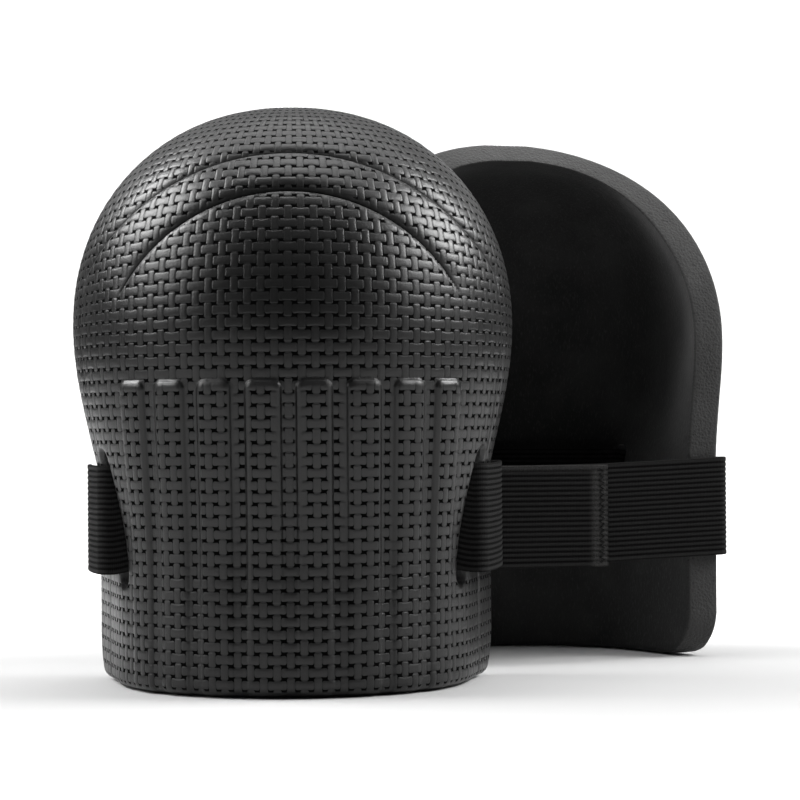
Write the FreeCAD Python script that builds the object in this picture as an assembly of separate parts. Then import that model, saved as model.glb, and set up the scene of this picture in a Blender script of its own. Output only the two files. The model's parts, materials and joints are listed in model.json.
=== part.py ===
import FreeCAD, Part
import math
import os

# A pair of moulded foam knee pads, each held to the leg by one elastic band.
# Millimetres. Each pad is designed in its own frame: Z up, kneecap side facing -Y,
# leg side open towards +Y, lower edge on z = 0, then turned and set in the pair's frame.
V = FreeCAD.Vector

# ---- driving dimensions of the foam cup --------------------------------------------
LOW_R = 64.0          # outer radius of the shin part
CUP_R = 78.0          # outer radius at the kneecap, the widest level
LOW_TURN = 77.0       # degrees of arc each side before the side wall runs straight
CUP_TURN = 100.0      # the same at the kneecap level, where the wall turns inward
Z_LOW = 38.0          # the cup starts to widen here
Z_CUP = 126.0         # widest level
DOME_H = 78.0         # height of the dome above the widest level
DOME_N = 2.1          # dome exponent (2 would be an ellipse)
DOME_END = 84.0       # degrees up the dome where the moulded surface stops
WALL_LOW = 54.0       # straight wall past the arc, lower part, before trimming
WALL_CUP = 30.0       # the same at the kneecap level
FOAM_T = 12.0         # foam thickness
FOAM_TOP_T = 9.0      # thickness at the top edge
RIM_Y = 25.0          # back edge of the side walls
RIM_Z = 110.0         # the back edge leans forward above this level
RIM_LEAN_R = 122.0    # radius of that lean
HEEL_R = 18.0         # rounding of the lower back corners of the walls
SLOT_W = 6.4          # band slot, width along the wall
SLOT_Y = -26.0        # middle of the slot, from the pad's axis
SLOT_Z0 = 35.5        # lower end of the slot
SLOT_Z1 = 82.5        # upper end of the slot

# ---- driving dimensions of the elastic band ----------------------------------------
BAND_T = 1.6          # band thickness
BAND_W = 40.0         # band width
BAND_Z = 37.0         # lower edge of the band outside the foam
BAND_Z_IN = 39.5      # lower edge where it crosses the inside
IN_R_LOW = 50.3       # centre-line radius of the inside run, lower edge
IN_R_TOP = 54.6       # the same at the upper edge, which leans with the wall
TURN_R = 4.0          # centre-line bend radius at the slots
OUT_X = 67.5          # widest point of the slot bend outside
OUT_LEAN = 12.0       # degrees the band leans out as it leaves that bend
OUT_CTRL = (73.9, -2.0)    # pull point of the curve from there to the back edge
RIM_X = 74.6          # band centre line at the back edge
HINGE_Y = 24.0        # the band's fixed run ends here on the opening side
MAIN_Y = 27.2         # centre line of the fixed run across the back
FLAP_Y = 30.8         # centre line of the closing run across the back
GAP = 0.3             # clearance between pieces that move apart
MAIN_END = 20.0       # free end of the fixed run
TAB_X = 20.5          # line where the tab lifts
TAB_END = -22.8       # free end of the tab
TAPE_T = 0.7          # hook and loop tape thickness
TAPE_MARGIN = 2.0     # tape set in from the band's edges
THREAD = 0.5          # thread width
THREAD_T = 0.25       # thread height above the surface

# ---- where each pad stands ---------------------------------------------------------
PAD_A = (-37.9, 0.0, 1.0)      # x, y, turn in degrees
PAD_B = (48.0, 92.5, 198.0)
ORIGIN_X = 5.71       # middle of the pair, as it stands
ORIGIN_Y = 46.25


def smooth(t):
    t = min(max(t, 0.0), 1.0)
    return t * t * (3.0 - 2.0 * t)


def outer_point(t, e):
    # t runs -1..1 across the wall. e below zero is the distance under the widest level
    # in millimetres, e above zero is the angle up the dome in degrees.
    if e <= 0.0:
        z = Z_CUP + e
        k = 1.0
    else:
        a = math.radians(e)
        z = Z_CUP + DOME_H * math.sin(a) ** (2.0 / DOME_N)
        k = math.cos(a) ** (2.0 / DOME_N)
    b = smooth((z - Z_LOW) / (Z_CUP - Z_LOW))
    r = LOW_R + (CUP_R - LOW_R) * b
    turn = math.radians(LOW_TURN + (CUP_TURN - LOW_TURN) * b)
    wall = WALL_LOW + (WALL_CUP - WALL_LOW) * b
    s = abs(t) * (r * turn + wall)
    arc = min(s, r * turn) / r
    past = max(s - r * turn, 0.0)
    side = -1.0 if t < 0.0 else 1.0
    x = side * (r * math.sin(arc) + past * math.cos(turn))
    y = -r * math.cos(arc) + past * math.sin(turn)
    return V(x * k, y * k, z)


def inner_point(t, e):
    # the outer point moved in along the surface normal by the foam's thickness
    h = 0.004
    across = outer_point(min(t + h, 1.0), e) - outer_point(max(t - h, -1.0), e)
    up = outer_point(t, min(e + 0.2, 89.0)) - outer_point(t, e - 0.2)
    if e < 1.0:
        up = outer_point(t, min(e + 0.2, 0.0)) - outer_point(t, min(e, 0.0) - 0.4)
    n = across.cross(up)
    n.normalize()
    thick = FOAM_T + (FOAM_TOP_T - FOAM_T) * smooth((e - 25.0) / 45.0)
    return outer_point(t, e) - n * thick


def grid_surface(point, levels, count):
    rows = []
    for e in levels:
        rows.append([point(-1.0 + 2.0 * i / (count - 1), e) for i in range(count)])
    surface = Part.BSplineSurface()
    surface.interpolate(rows)
    return surface.toShape()


def side_profile_keep():
    # everything in front of the leaning back edge, above the floor
    lean = math.radians(50.0)
    cy = RIM_Y - RIM_LEAN_R
    mid = V(0, cy + RIM_LEAN_R * math.cos(lean / 2), RIM_Z + RIM_LEAN_R * math.sin(lean / 2))
    end = V(0, cy + RIM_LEAN_R * math.cos(lean), RIM_Z + RIM_LEAN_R * math.sin(lean))
    beyond = end + V(0, -60.0 * math.sin(lean), 60.0 * math.cos(lean))
    hy = RIM_Y - HEEL_R
    q = HEEL_R * math.sqrt(0.5)
    edges = [
        Part.makeLine(V(0, -130, 0), V(0, hy, 0)),
        Part.Arc(V(0, hy, 0), V(0, hy + q, HEEL_R - q), V(0, RIM_Y, HEEL_R)).toShape(),
        Part.makeLine(V(0, RIM_Y, HEEL_R), V(0, RIM_Y, RIM_Z)),
        Part.Arc(V(0, RIM_Y, RIM_Z), mid, end).toShape(),
        Part.makeLine(end, beyond),
        Part.makeLine(beyond, V(0, -130, beyond.z)),
        Part.makeLine(V(0, -130, beyond.z), V(0, -130, 0)),
    ]
    face = Part.Face(Part.Wire(edges))
    face.translate(V(-130, 0, 0))
    return face.extrude(V(260, 0, 0))


def slot_cutter(side):
    r = SLOT_W / 2.0
    corner = V(35.0, SLOT_Y - r, SLOT_Z0 + r)
    box = Part.makeBox(60.0, SLOT_W, SLOT_Z1 - SLOT_Z0 - SLOT_W, corner)
    low = Part.makeCylinder(r, 60.0, V(35.0, SLOT_Y, SLOT_Z0 + r), V(1, 0, 0))
    top = Part.makeCylinder(r, 60.0, V(35.0, SLOT_Y, SLOT_Z1 - r), V(1, 0, 0))
    cutter = box.fuse([low, top])
    if side < 0:
        cutter = cutter.mirror(V(0, 0, 0), V(1, 0, 0))
    return cutter


def foam_cup():
    levels = [-136.0 + 8.0 * i for i in range(17)]
    levels += [0.0] + [DOME_END * (i + 1) / 14.0 for i in range(14)]
    outer = grid_surface(outer_point, levels, 41)
    inner = grid_surface(inner_point, levels, 41)
    faces = [outer, inner]
    for i in range(4):
        faces.append(Part.makeRuledSurface(outer.Edges[i], inner.Edges[i]))
    shell = Part.makeShell(faces)
    shell.sewShape()
    solid = Part.makeSolid(shell)
    if solid.Volume < 0:
        solid.reverse()
    solid = solid.common(side_profile_keep())
    solid = solid.cut([slot_cutter(1), slot_cutter(-1)])
    return max(solid.Solids, key=lambda s: s.Volume)


def arc_points(cx, cy, r, a0, a1, count):
    pts = []
    for i in range(count):
        a = math.radians(a0 + (a1 - a0) * i / (count - 1))
        pts.append((cx + r * math.cos(a), cy + r * math.sin(a)))
    return pts


def line_points(p, q, count):
    # the points strictly between p and q
    pts = []
    for i in range(1, count + 1):
        w = i / (count + 1.0)
        pts.append((p[0] + (q[0] - p[0]) * w, p[1] + (q[1] - p[1]) * w))
    return pts


def ruled(p, q):
    # the untwisted one of the two ruled faces between two edges
    faces = [Part.makeRuledSurface(p, q), Part.makeRuledSurface(p, q.reversed())]
    return min(faces, key=lambda f: f.Area)


def band(low, top, z_low, width):
    # a thin band whose lower and upper edges follow two centre lines with equal point
    # counts; z_low gives the height of the lower edge at each point
    def edge(path, z_add, sign):
        out = []
        n = len(path)
        for i in range(n):
            p = path[max(i - 1, 0)]
            q = path[min(i + 1, n - 1)]
            dx, dy = q[0] - p[0], q[1] - p[1]
            d = math.hypot(dx, dy)
            h = sign * BAND_T / 2.0
            out.append(V(path[i][0] - h * dy / d, path[i][1] + h * dx / d, z_low[i] + z_add))
        curve = Part.BSplineCurve()
        curve.interpolate(out)
        return curve.toShape()
    a = edge(low, 0.0, 1)
    b = edge(low, 0.0, -1)
    c = edge(top, width, -1)
    d = edge(top, width, 1)
    sides = [ruled(p, q) for p, q in ((a, b), (b, c), (c, d), (d, a))]
    ends = []
    for k in (0, -1):
        ring = [e.Vertexes[k].Point for e in (a, b, c, d)]
        ends.append(Part.Face(Part.makePolygon(ring + [ring[0]])))
    shell = Part.makeShell(sides + ends)
    shell.sewShape()
    solid = Part.makeSolid(shell)
    if solid.Volume < 0:
        solid.reverse()
    return solid


def curve_points(p, c, q, count):
    # the points strictly between p and q on the curve pulled towards c
    pts = []
    for i in range(1, count + 1):
        w = i / (count + 1.0)
        pts.append(tuple((1 - w) ** 2 * p[k] + 2 * w * (1 - w) * c[k] + w * w * q[k]
                         for k in (0, 1)))
    return pts


def half_inside(r_in, side):
    # from the middle of the inside run to the slot on one side, then out and back to
    # the rim: centre line only
    low_y = SLOT_Y - TURN_R
    turn_a = math.degrees(math.asin(-low_y / (r_in + TURN_R)))
    pts = arc_points(0, 0, r_in, -90.0, -turn_a - 3.0, 24)
    x = (r_in + TURN_R) * math.cos(math.radians(turn_a))
    pts += arc_points(x, low_y, TURN_R, 180.0 - turn_a, 90.0, 9)
    out_c = OUT_X - TURN_R
    pts += line_points((x, SLOT_Y), (out_c, SLOT_Y), 8)
    pts += arc_points(out_c, SLOT_Y + TURN_R, TURN_R, -90.0, -OUT_LEAN, 9)
    pts += curve_points(pts[-1], OUT_CTRL, (RIM_X, HINGE_Y), 14)
    pts += [(RIM_X, HINGE_Y)]
    return [(side * p[0], p[1]) for p in pts]


def half_heights():
    zs = [BAND_Z_IN] * 33
    zs += [BAND_Z_IN + (BAND_Z - BAND_Z_IN) * smooth(i / 9.0) for i in range(1, 9)]
    zs += [BAND_Z] * 24
    return zs


def main_band():
    right_low, right_top = half_inside(IN_R_LOW, 1), half_inside(IN_R_TOP, 1)
    left_low, left_top = half_inside(IN_R_LOW, -1), half_inside(IN_R_TOP, -1)
    r = MAIN_Y - HINGE_Y
    back = arc_points(-RIM_X + r, HINGE_Y, r, 180.0, 90.0, 9)[1:]
    back += line_points((-RIM_X + r, MAIN_Y), (MAIN_END, MAIN_Y), 20)
    back += [(MAIN_END, MAIN_Y)]
    low = list(reversed(right_low)) + left_low[1:] + back
    top = list(reversed(right_top)) + left_top[1:] + back
    zs = list(reversed(half_heights())) + half_heights()[1:] + [BAND_Z] * len(back)
    return band(low, top, zs, BAND_W)


def closing_band():
    r = FLAP_Y - HINGE_Y - GAP
    pts = arc_points(RIM_X - r, HINGE_Y + GAP, r, 0.0, 90.0, 12)
    pts += line_points((RIM_X - r, FLAP_Y), (TAB_X + GAP / 2, FLAP_Y), 12)
    pts += [(TAB_X + GAP / 2, FLAP_Y)]
    return band(pts, pts, [BAND_Z] * len(pts), BAND_W)


def tab_band():
    length = TAB_X - GAP / 2 - TAB_END
    return Part.makeBox(length, BAND_T, BAND_W, V(TAB_END, FLAP_Y - BAND_T / 2, BAND_Z))


def zigzag(x0, x1, z0, z1, pitch, y, side):
    # one zigzag thread lying on the face y, standing out of it to the given side
    n = int((z1 - z0) / pitch)
    left, right = [], []
    for i in range(n + 1):
        x = x0 if i % 2 else x1
        z = z0 + (z1 - z0) * i / n
        left.append(V(x - THREAD, y, z))
        right.append(V(x + THREAD, y, z))
    ring = left + list(reversed(right))
    face = Part.Face(Part.makePolygon(ring + [ring[0]]))
    return face.extrude(V(0, side * THREAD_T, 0))


def stitch_rows(xs, z0, z1, y, side):
    # running stitches in upright rows
    parts = []
    count = 9
    pitch = (z1 - z0) / count
    for x in xs:
        for i in range(count):
            corner = V(x - THREAD / 2, min(y, y + side * THREAD_T), z0 + (i + 0.2) * pitch)
            parts.append(Part.makeBox(THREAD, THREAD_T, 0.6 * pitch, corner))
    return Part.makeCompound(parts)


def pad_parts():
    z0 = BAND_Z + TAPE_MARGIN
    wide = BAND_W - 2 * TAPE_MARGIN
    main_face = MAIN_Y + BAND_T / 2
    hook_face = FLAP_Y - BAND_T / 2 - TAPE_T
    outer_face = FLAP_Y + BAND_T / 2
    parts = {}
    parts["foam_cup"] = foam_cup()
    parts["elastic_band"] = main_band()
    parts["loop_tape"] = Part.makeBox(38.8, TAPE_T, wide, V(-20.8, main_face, z0))
    parts["loop_stitching"] = stitch_rows((-19.3, 16.5), z0, z0 + wide, main_face + TAPE_T, 1)
    parts["closing_band"] = closing_band()
    parts["tab_band"] = tab_band()
    parts["hook_tape"] = Part.makeBox(33.8, TAPE_T, wide, V(-21.3, hook_face, z0))
    seam_z = (BAND_Z + 1.2, BAND_Z + BAND_W - 1.2)
    parts["seam_stitching"] = zigzag(-21.4, -19.2, seam_z[0], seam_z[1], 1.1, outer_face, 1)
    return parts


def place(shape, pad):
    s = shape.copy()
    s.rotate(V(0, 0, 0), V(0, 0, 1), pad[2])
    s.translate(V(pad[0] - ORIGIN_X, pad[1] - ORIGIN_Y, 0))
    return s


os.makedirs("parts", exist_ok=True)
made = pad_parts()
everything = []
for name, shape in made.items():
    # the near pad closes from its other side, as a left and right pair does
    near = shape if name == "foam_cup" else shape.mirror(V(0, 0, 0), V(1, 0, 0))
    for prefix, solid, pad in (("a_", near, PAD_A), ("b_", shape, PAD_B)):
        piece = place(solid, pad)
        piece.exportStep("parts/" + prefix + name + ".step")
        everything.append(piece)
        print(prefix + name, piece.ShapeType, piece.isValid(), round(piece.Volume, 1))
box = Part.makeCompound(everything).optimalBoundingBox(False, False)
print("centre", round(box.Center.x, 3), round(box.Center.y, 3))
print("size", round(box.XLength, 2), round(box.YLength, 2), round(box.ZLength, 2), round(box.ZMin, 3))
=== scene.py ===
# A pair of moulded foam knee pads on a pale studio floor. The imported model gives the
# bodies and joints; every visible piece below is built in mesh code around it.
import json
import math

import bpy
import bmesh
import numpy as np
from mathutils import Matrix, Vector

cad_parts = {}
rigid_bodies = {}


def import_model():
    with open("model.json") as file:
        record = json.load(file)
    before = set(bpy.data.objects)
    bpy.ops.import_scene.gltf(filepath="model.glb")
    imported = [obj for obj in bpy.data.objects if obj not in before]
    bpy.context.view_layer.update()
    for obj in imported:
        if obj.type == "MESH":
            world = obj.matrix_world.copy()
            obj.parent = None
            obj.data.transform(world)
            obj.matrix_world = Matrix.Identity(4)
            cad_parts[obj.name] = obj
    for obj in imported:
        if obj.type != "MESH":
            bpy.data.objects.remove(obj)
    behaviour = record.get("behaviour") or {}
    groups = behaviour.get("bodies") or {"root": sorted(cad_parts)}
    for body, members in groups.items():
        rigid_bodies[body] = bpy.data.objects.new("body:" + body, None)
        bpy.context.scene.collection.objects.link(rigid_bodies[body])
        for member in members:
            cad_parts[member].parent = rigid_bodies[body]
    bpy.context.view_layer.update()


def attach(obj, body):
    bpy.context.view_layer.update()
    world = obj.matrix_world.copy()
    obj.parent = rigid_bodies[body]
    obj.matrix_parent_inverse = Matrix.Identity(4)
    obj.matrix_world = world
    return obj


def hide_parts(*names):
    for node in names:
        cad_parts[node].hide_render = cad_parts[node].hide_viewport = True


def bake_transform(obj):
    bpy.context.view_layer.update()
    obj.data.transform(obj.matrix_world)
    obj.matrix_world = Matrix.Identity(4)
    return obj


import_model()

MM = 0.001

# ---- where the pads stand, millimetres and degrees (pad frame: kneecap side -Y) ----
SHIFT = (5.71, 46.25)
PADS = {"a": (-37.9, 0.0, 1.0, -1.0), "b": (48.0, 92.5, 198.0, 1.0)}


def to_row(pts, pad, mirror):
    """Pad-frame millimetres to row-frame metres."""
    px, py, turn, side = PADS[pad]
    c, s = math.cos(math.radians(turn)), math.sin(math.radians(turn))
    x = pts[:, 0] * (side if mirror else 1.0)
    y = pts[:, 1]
    out = np.empty_like(pts)
    out[:, 0] = x * c - y * s + px - SHIFT[0]
    out[:, 1] = x * s + y * c + py - SHIFT[1]
    out[:, 2] = pts[:, 2]
    return out * MM


def row_point(x, y, z, pad):
    return tuple(to_row(np.array([[x, y, z]], float), pad, True)[0])


# ---- camera ----
PHOTO_PX, LENS_PX = 800.0, 2646.0  # the photo's width and the lens, in its pixels
SENSOR_MM = 36.0
CAM_AT = (-SHIFT[0], -943.6 - SHIFT[1], 89.2)
CAM_PITCH = math.radians(0.63)
CAM_ROLL = math.radians(0.37)

cam_data = bpy.data.cameras.new("camera")
cam_data.sensor_width = SENSOR_MM
cam_data.lens = SENSOR_MM * LENS_PX / PHOTO_PX
cam_data.clip_start = 0.05
cam = bpy.data.objects.new("camera", cam_data)
bpy.context.collection.objects.link(cam)
ahead = Vector((0, math.cos(CAM_PITCH), math.sin(CAM_PITCH)))
up0 = Vector((0, -math.sin(CAM_PITCH), math.cos(CAM_PITCH)))
right0 = Vector((1, 0, 0))
right = right0 * math.cos(CAM_ROLL) - up0 * math.sin(CAM_ROLL)
up = right0 * math.sin(CAM_ROLL) + up0 * math.cos(CAM_ROLL)
axes = Matrix((right, up, -ahead)).transposed().to_4x4()
cam.matrix_world = Matrix.Translation(Vector(CAM_AT) * MM) @ axes
bpy.context.scene.camera = cam

# ---- foam cup shape, the same formulas as the design, in millimetres ----
LOW_R, CUP_R = 64.0, 78.0  # outer radius at the shin and at the kneecap
LOW_TURN, CUP_TURN = math.radians(77.0), math.radians(100.0)
Z_LOW, Z_CUP, DOME_H, DOME_N = 38.0, 126.0, 78.0, 2.1
DOME_END = 0.99999  # share of the dome's height that is still computed
FOAM_T, FOAM_TOP_T = 12.0, 9.0
THIN_FROM, THIN_OVER = 25.0, 45.0  # dome angles over which the foam gets thinner
RIM_Y, RIM_Z, RIM_LEAN_R, HEEL_R = 25.0, 110.0, 122.0, 18.0
SLOT_W, SLOT_Y, SLOT_Z0, SLOT_Z1, SLOT_LIP = 6.4, -26.0, 35.5, 82.5, 1.4
CELL_U, CELL_V = 4.5, 4.2  # basket weave pitch across and up
STEP_U, STEP_V = CELL_U / 5, CELL_V / 4  # mesh steps across and up
EDGE_R, INNER_EDGE_R = 4.0, 2.0  # rounding of the lower edge, outside and inside
RIM_ROUND, RIM_SHARP = 1.2, 0.15  # rounding of the cut rim's outer corner, and at the floor
IN_ROUND = 0.8  # rounding of its inner corner, as a share of the outer one
DROOP, DROOP_Z, DROOP_OVER = 0.0011, 112.0, 60.0  # the weave's rows sag over the dome
FAR_OFF = 99.0  # a distance that means out of reach


def smooth(t):
    t = np.clip(t, 0.0, 1.0)
    return t * t * (3.0 - 2.0 * t)


def unit(v):
    return v / np.linalg.norm(v, axis=-1, keepdims=True)


def level(z):
    """Dome scale, radius and turn of the arc at a height. A straight wall goes on from it."""
    over = np.clip((z - Z_CUP) / DOME_H, 0.0, DOME_END)
    k = (1.0 - over ** DOME_N) ** (1.0 / DOME_N)
    b = smooth((z - Z_LOW) / (Z_CUP - Z_LOW))
    r = LOW_R + (CUP_R - LOW_R) * b
    turn = LOW_TURN + (CUP_TURN - LOW_TURN) * b
    return k, r, turn


def outer(s, z):
    """Point on the moulded outer surface. s is the arc length before dome scaling."""
    k, r, turn = level(z)
    arc = np.minimum(np.abs(s) / r, turn)
    past = np.maximum(np.abs(s) - r * turn, 0.0)
    x = np.sign(s) * (r * np.sin(arc) + past * np.cos(turn)) * k
    y = (-r * np.cos(arc) + past * np.sin(turn)) * k
    return np.stack([x, y, z + 0.0 * s], -1)


def normals(s, z):
    ds, dz = 0.25, 0.04
    across = outer(s + ds, z) - outer(s - ds, z)
    zc = np.minimum(z, Z_CUP + 0.9995 * DOME_H)
    lo, hi = zc - dz, np.minimum(zc + dz, Z_CUP + 0.9999 * DOME_H)
    return unit(np.cross(across, outer(s, hi) - outer(s, lo)))


def rim_y(z):
    """Back edge in the side view."""
    lean = np.clip((z - RIM_Z) / RIM_LEAN_R, 0.0, 0.98)
    y = RIM_Y - RIM_LEAN_R * (1.0 - np.sqrt(1.0 - lean * lean))
    heel = HEEL_R - np.sqrt(np.maximum(HEEL_R ** 2 - np.maximum(HEEL_R - z, 0.0) ** 2, 0.0))
    return y - heel


# heights on the front profile, and the profile's length up to each
_dome = np.sin(np.linspace(0.0, math.pi / 2, 1200)[1:]) ** (2 / DOME_N)
PROFILE_Z = np.concatenate([np.linspace(0.0, Z_CUP, 400), Z_CUP + DOME_H * _dome])
_front = -level(PROFILE_Z)[0] * level(PROFILE_Z)[1]
PROFILE_V = np.concatenate([[0.0], np.cumsum(np.hypot(np.diff(_front), np.diff(PROFILE_Z)))])
_past_rim = _front > rim_y(PROFILE_Z)
TOP_V = PROFILE_V[np.argmax(_past_rim) if np.any(_past_rim) else len(PROFILE_Z) - 1]


def dome_scale(z):
    """How the weave's columns close up over the dome."""
    return 0.5 + 0.5 * level(z)[0]


def droop(z):
    return DROOP * smooth((z - DROOP_Z) / DROOP_OVER)


def rim_gap(y, z):
    """Distance inside the back edge in the side view, and the edge's outward direction."""
    heel = (z < HEEL_R) & (y > RIM_Y - HEEL_R)
    lean = z > RIM_Z
    dy = np.where(heel, y - (RIM_Y - HEEL_R), np.where(lean, y - (RIM_Y - RIM_LEAN_R), 1.0))
    dz = np.where(heel, z - HEEL_R, np.where(lean, z - RIM_Z, 0.0))
    far = np.maximum(np.hypot(dy, dz), 1e-9)
    gap = np.where(heel, HEEL_R - far, np.where(lean, RIM_LEAN_R - far, RIM_Y - y))
    return gap, np.stack([np.zeros_like(y), dy / far, dz / far], -1)


def locate(u, v):
    """Arc length and height of pattern coordinates u across and v up."""
    z = np.interp(v, PROFILE_V, PROFILE_Z)
    for _ in range(12):
        z = np.interp(v - droop(z) * u * u, PROFILE_V, PROFILE_Z)
    return u / dome_scale(z), z


def corner_r(z):
    return RIM_SHARP + (RIM_ROUND - RIM_SHARP) * smooth(z / 7.0)


def row_reach(v):
    """Largest u that stays inside the rounded corner of the back edge, per row."""
    longest, wall = 190.0, 60.0      # more than the pad has, round its half and past the arc
    lo, hi = np.zeros_like(v), np.full_like(v, longest)
    for _ in range(40):
        mid = 0.5 * (lo + hi)
        s, z = locate(mid, v)
        _k, r, turn = level(z)
        gap = rim_gap(outer(s, z)[..., 1], z)[0]
        ok = (gap > corner_r(z)) & (s < r * turn + wall) & ~((s > 0.5) & (s / r > math.pi))
        lo, hi = np.where(ok, mid, lo), np.where(ok, hi, mid)
    return lo


# ---- relief of the outer surface ----
WEAVE_H, WEAVE_MEAN = 0.16, 0.75
RIB_PITCH, RIB_HALF, RIB_TOP, RIB_H, RIB_CORNER = 16.9, 6.3, 106.0, 1.15, 3.2
RIBS_A_SIDE = 4.0
ARC1_Z, ARC1_R, ARC1_DEPTH = 99.2, 83.2, 3.3  # outer crease
ARC2_Z, ARC2_R, ARC2_DEPTH = 102.5, 66.0, 3.3  # inner crease
LOBE_ROLL = 8.0  # how far above a crease the upper lobe starts to roll under
BORDER_Z = [0, 34, 60, 80, 105, 135, 143, 150]  # the outer crease's way down the side
BORDER_Y = [-1, 0, -9, -19, -25, -28, -30, -35.5]
RIB_TOP_V = float(np.interp(RIB_TOP, PROFILE_Z, PROFILE_V))


def weave(a, b):
    """Soft over-and-under swell 0..1; a and b count cells. The skin material adds the threads."""
    over = np.cos(np.pi * a) * np.cos(np.pi * b)
    h = 0.5 + 0.5 * np.cos(2 * np.pi * b)
    v = 0.5 + 0.5 * np.cos(2 * np.pi * a)
    w = smooth(over + 0.5)
    return h * w + v * (1.0 - w)


def crease_fields(s, z):
    """Signed surface distance to the two creases, positive on the outer side."""
    def implicit(ss, zz):
        p = outer(ss, zz)
        f1 = np.hypot(p[..., 0], zz - ARC1_Z) - ARC1_R
        f2 = np.hypot(p[..., 0], zz - ARC2_Z) - ARC2_R
        fb = p[..., 1] - np.interp(zz, BORDER_Z, BORDER_Y)
        return p, (f1, f2, fb)
    step, top = 0.3, 203.9
    p0, f0 = implicit(s, z)
    ps, fs = implicit(s + step, z)
    pz, fz = implicit(s, np.minimum(z + step, top))
    ds = np.linalg.norm(ps - p0, axis=-1)
    dz = np.linalg.norm(pz - p0, axis=-1)
    out = []
    for c, cs, cz in zip(f0, fs, fz):
        grad = np.hypot((cs - c) / ds, (cz - c) / dz)
        out.append(c / np.maximum(grad, 0.18))
    w = smooth((z - 136.0) / 12.0)
    q1 = out[0] * w + out[2] * (1.0 - w)
    return q1, out[1]


def lobe_step(q, depth):
    """Upper lobe rolls under towards q = 0, the lower lobe starts with a rounded edge."""
    edge_r, edge_h = 1.5, 0.45
    t = np.clip((LOBE_ROLL - q) / LOBE_ROLL, 0.0, 1.0)
    above = -depth * (1.0 - np.sqrt(np.maximum(1.0 - t ** 2.6, 0.0)))
    e = np.clip((q + edge_r) / edge_r, 0.0, 1.0)
    below = -edge_h * (1.0 - np.sqrt(1.0 - e * e))
    return np.where(q > 0.0, above, below)


def crease_depths(z):
    """Outer and inner crease. Both are shallower, or gone, further down."""
    d1 = ARC1_DEPTH * (0.6 + 0.4 * smooth((z - 128.0) / 26.0))
    d1 = d1 * (0.75 + 0.25 * smooth(z / 60.0))
    d2 = ARC2_DEPTH * smooth((z - 131.5) / 16.0)
    return d1, d2


def rib_distance(s, z):
    """Signed distance to the nearest rib's outline, negative on the rib."""
    off = np.abs(np.abs(s) % RIB_PITCH - RIB_PITCH / 2.0)
    off = np.where(np.abs(s) > RIBS_A_SIDE * RIB_PITCH, FAR_OFF, off)
    dx = off - (RIB_HALF - RIB_CORNER)
    dz = z - (RIB_TOP - RIB_CORNER)
    outside = np.hypot(np.maximum(dx, 0.0), np.maximum(dz, 0.0))
    return outside + np.minimum(np.maximum(dx, dz), 0.0) - RIB_CORNER


def rib_height(s, z):
    d = rib_distance(s, z)
    fade = 0.45 + 0.55 * smooth((z - 4.0) / 60.0)
    return (RIB_H * smooth(-d / 1.5) + 0.2 * smooth(-d / 5.0)) * fade


def slot_distance(p):
    """Distance from the nearer slot's outline, in the side view."""
    half = (SLOT_Z1 - SLOT_Z0 - SLOT_W) / 2.0
    mid = (SLOT_Z0 + SLOT_Z1) / 2.0
    dz = np.maximum(np.abs(p[..., 2] - mid) - half, 0.0)
    d = np.hypot(p[..., 1] - SLOT_Y, dz) - SLOT_W / 2.0
    return np.where(np.abs(p[..., 0]) > 40.0, d, FAR_OFF)


def calm(s, z, p, q1, q2):
    """1 where the woven print is pressed out: at creases, rib shoulders, slots and edges."""
    c = 0.0
    for q, depth, reach in zip((q1, q2), crease_depths(z), (2.6, 3.0)):
        line = np.where(q > 0, smooth((reach - q) / 1.6), smooth((q + 0.9) / 0.6))
        c = np.maximum(c, line * smooth(depth / 1.6))
    d = rib_distance(s, z)
    shoulder = smooth((d + 1.9) / 0.7) * smooth((0.7 - d) / 0.7)
    c = np.maximum(c, shoulder * smooth((z - 20.0) / 70.0) * 0.9)
    c = np.maximum(c, 1.0 - smooth((rim_gap(p[..., 1], z)[0] - 0.6) / 1.6))
    c = np.maximum(c, 1.0 - smooth((slot_distance(p) - 0.4) / 1.4))
    return np.maximum(c, 1.0 - smooth((z - 1.0) / 2.0))


def crease_shade(z, q1, q2):
    """Mask of painted shade: 1 where a lobe is rolled under to the crease, fading out above it."""
    return np.maximum(*[smooth((2.2 - q) / 1.6) * (q > 0.0) * smooth(depth / 0.9)
                        for q, depth in zip((q1, q2), crease_depths(z))])


def rounding(r, far):
    """How far a rounded edge of radius r falls back at a distance inside the edge."""
    e = np.clip((r - far) / r, 0.0, 1.0)
    return r * (1.0 - np.sqrt(np.maximum(1.0 - e * e, 0.0)))


def relief(u, v, s, z, p, pressed, q1, q2):
    """Height of the moulded surface over the plain cup."""
    d1, d2 = crease_depths(z)
    h = lobe_step(q1, d1) + np.where(d2 > 0.01, lobe_step(q2, d2), 0.0)
    h = h + rib_height(s, z)
    h = h + (weave(u / CELL_U, v / CELL_V) - WEAVE_MEAN) * WEAVE_H * (1.0 - pressed)
    return h - rounding(EDGE_R, z) - rounding(SLOT_LIP, slot_distance(p))


def thickness(z):
    over = np.clip((z - Z_CUP) / DOME_H, 0.0, DOME_END)
    e = np.degrees(np.arcsin(over ** (DOME_N / 2.0)))
    return FOAM_T + (FOAM_TOP_T - FOAM_T) * smooth((e - THIN_FROM) / THIN_OVER)


def lining_depth(z):
    return thickness(z) - rounding(INNER_EDGE_R, z)


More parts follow.
